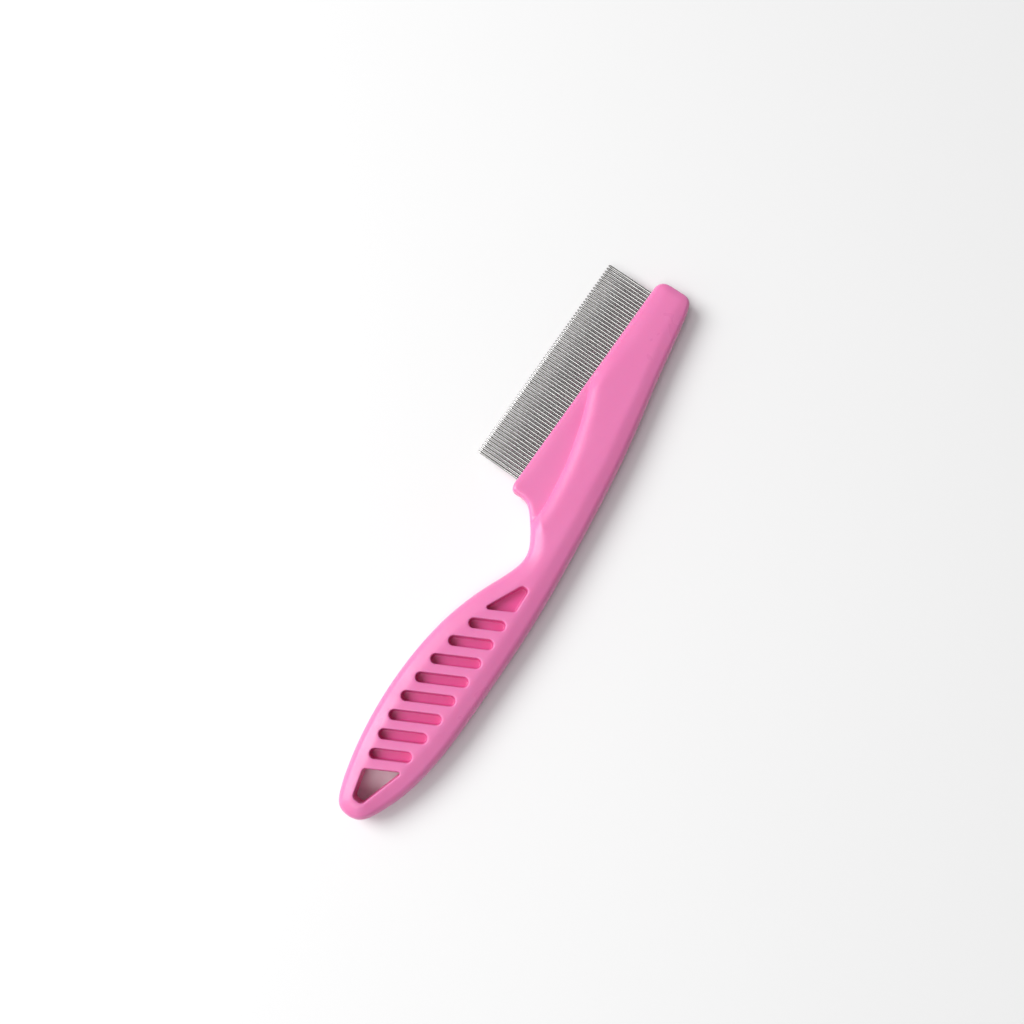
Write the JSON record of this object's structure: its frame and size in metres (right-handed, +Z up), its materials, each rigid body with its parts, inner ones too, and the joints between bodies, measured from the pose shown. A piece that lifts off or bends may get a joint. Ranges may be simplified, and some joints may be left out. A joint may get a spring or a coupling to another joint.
{
  "type": "flea comb",
  "caption": "Single-row fine-tooth comb: round steel wire pins set in a tapered head, on a slim moulded plastic grip with cross recesses and a hanging hole.",
  "frame": {"origin": "centre of the bounding box, at the level of the flat underside of the grip that the comb lies on", "axes": "+X along the comb from the butt of the grip to the tip of the head, +Y towards the tips of the teeth, +Z up, square to the comb's flat faces"},
  "size_m": [0.1712, 0.0431, 0.009],
  "materials": {
    "handle_plastic": "injection-moulded plastic, soft satin gloss",
    "tooth_steel": "drawn stainless-steel wire, polished"
  },
  "bodies": {
    "root": {"handle": "handle_plastic", "teeth_01_02": "tooth_steel", "teeth_03_04": "tooth_steel", "teeth_05_06": "tooth_steel", "teeth_07_08": "tooth_steel", "teeth_09_10": "tooth_steel", "teeth_11_12": "tooth_steel", "teeth_13_14": "tooth_steel", "teeth_15_16": "tooth_steel", "teeth_17_18": "tooth_steel", "teeth_19_20": "tooth_steel", "teeth_21_22": "tooth_steel", "teeth_23_24": "tooth_steel", "teeth_25_26": "tooth_steel", "teeth_27_28": "tooth_steel", "teeth_29_30": "tooth_steel", "teeth_31_32": "tooth_steel", "teeth_33_34": "tooth_steel", "teeth_35_36": "tooth_steel", "teeth_37_38": "tooth_steel", "teeth_39_40": "tooth_steel", "teeth_41_42": "tooth_steel", "teeth_43_44": "tooth_steel", "teeth_45_46": "tooth_steel", "teeth_47_48": "tooth_steel", "teeth_49_50": "tooth_steel", "teeth_51_52": "tooth_steel", "teeth_53_54": "tooth_steel", "teeth_55_56": "tooth_steel", "teeth_57_58": "tooth_steel", "teeth_59_60": "tooth_steel", "teeth_61_62": "tooth_steel", "teeth_63_64": "tooth_steel", "teeth_65_66": "tooth_steel"}
  },
  "joints": []
}
